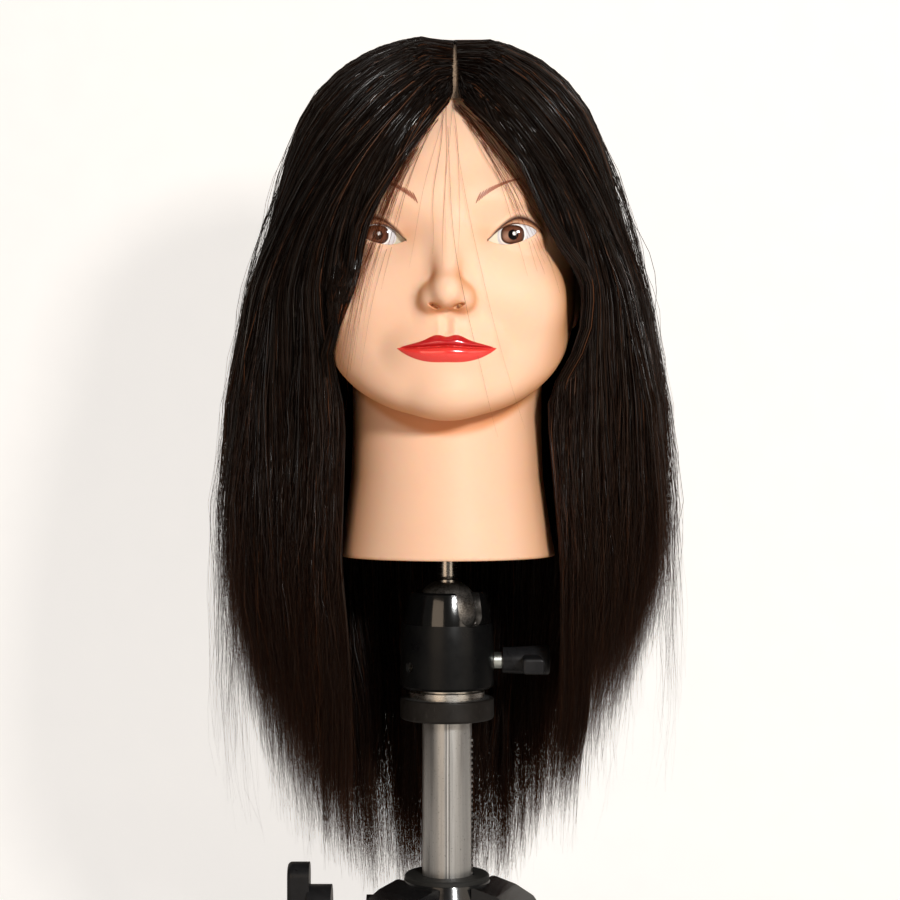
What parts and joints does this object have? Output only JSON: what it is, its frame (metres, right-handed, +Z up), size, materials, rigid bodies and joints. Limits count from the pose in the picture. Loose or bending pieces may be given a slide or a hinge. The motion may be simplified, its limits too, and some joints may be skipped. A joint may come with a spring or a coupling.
{
  "type": "mannequin training head on a geared ball-head mount",
  "caption": "Hairdressing practice head with long centre-parted hair, spigot-mounted on a tilting ball head over a crank-raised rack column and leg crown.",
  "frame": {"origin": "centre of the crown's underside, on the column's axis", "axes": "+Z up along the column, the face looks along -Y, +X towards the column lock's far side, where the rack is"},
  "size_m": [0.2552, 0.227, 0.5155],
  "materials": {
    "crown": "gloss black enamel",
    "bush": "dark grey, finely textured",
    "brass": "plain",
    "pad": "white acetal",
    "steel": "bright zinc plated",
    "knob": "black moulded nylon",
    "rack": "oiled",
    "column": "satin anodised",
    "platform": "worn matt brown-black",
    "rubber": "matt",
    "base_plate": "turned, bright",
    "housing": "satin black, scuffed",
    "collar": "turned",
    "ball": "worn, swirled scratches",
    "pin": "turned, worn",
    "skin": "soft satin vinyl, painted features",
    "eye": "painted iris under clear gloss",
    "foam": "rigid polyurethane foam",
    "plug": "moulded",
    "socket": "moulded nylon",
    "scalp": "rooted vinyl, stippled",
    "hair": "straight dark brown hair"
  },
  "bodies": {
    "crown": {"crown_body": "crown", "upper_column_bush": "bush", "lower_column_bush": "bush", "shaft_bushes": "bush", "lock_nut": "brass", "column_lock_pad": "pad"},
    "column_lock": {"column_lock_screw": "steel", "column_lock_knob": "knob"},
    "column": {"column_tube": "column", "rack_strip": "rack", "column_end_cap": "bush", "column_top_plug": "column", "platform_ring": "platform", "platform_pad": "rubber", "mount_bolt": "steel", "pan_base_plate": "base_plate"},
    "crank": {"pinion_gear": "rack", "pinion_shaft": "steel", "crank_arm": "crown", "crank_screw": "steel", "crank_knob_pin": "steel"},
    "crank_handle": {"crank_knob": "knob"},
    "housing": {"ball_housing": "housing", "lock_plunger": "brass", "brake_pad": "pad", "pan_circlip": "steel", "friction_grub_screw": "brass"},
    "ball_lock": {"ball_lock_screw": "steel", "ball_lock_collar": "collar", "ball_lock_lever": "knob"},
    "cup": {"ball_cup": "pad"},
    "head": {"ball": "ball", "spigot_pin": "pin", "neck_socket": "socket", "neck_base_plug": "plug", "neck_plug_screws": "steel", "foam_core": "foam", "head_shell": "skin", "eye_left": "eye", "eye_right": "eye", "scalp_cap": "scalp", "hair_back": "hair", "hair_left": "hair", "hair_right": "hair"}
  },
  "joints": [
    {"name": "column_lift", "type": "slide", "parent": "crown", "child": "column", "axis": [0, 0, 1], "range_m": [-0.06, 0], "deforming": ["hair_back", "hair_left", "hair_right"]},
    {"name": "crank_turn", "type": "hinge", "parent": "crown", "child": "crank", "pos_m": [0.01935, 0, 0.036], "axis": [0, 1, 0], "range_deg": [-580, 10]},
    {"name": "crank_knob_spin", "type": "hinge", "parent": "crank", "child": "crank_handle", "pos_m": [0.04535, -0.045, 0.036], "axis": [0, 1, 0], "continuous": true},
    {"name": "column_lock_turn", "type": "hinge", "parent": "crown", "child": "column_lock", "pos_m": [-0.05, 0, 0.038], "axis": [1, 0, 0], "range_deg": [-180, 30]},
    {"name": "pan", "type": "hinge", "parent": "column", "child": "housing", "pos_m": [0, 0, 0.16], "axis": [0, 0, 1], "continuous": true},
    {"name": "ball_lock_turn", "type": "hinge", "parent": "housing", "child": "ball_lock", "pos_m": [0.03, 0, 0.1752], "axis": [1, 0, 0], "range_deg": [-15, 100]},
    {"name": "ball_roll", "type": "hinge", "parent": "housing", "child": "cup", "pos_m": [0, 0, 0.202], "axis": [0, 1, 0], "range_deg": [-22, 22], "deforming": ["hair_back", "hair_left", "hair_right"]},
    {"name": "ball_pitch", "type": "hinge", "parent": "cup", "child": "head", "pos_m": [0, 0, 0.202], "axis": [1, 0, 0], "range_deg": [-22, 22], "deforming": ["hair_back", "hair_left", "hair_right"]}
  ],
  "couplings": [
    {"joint": "crank_turn", "follows": "column_lift", "rad_per_m": 166.67}
  ]
}
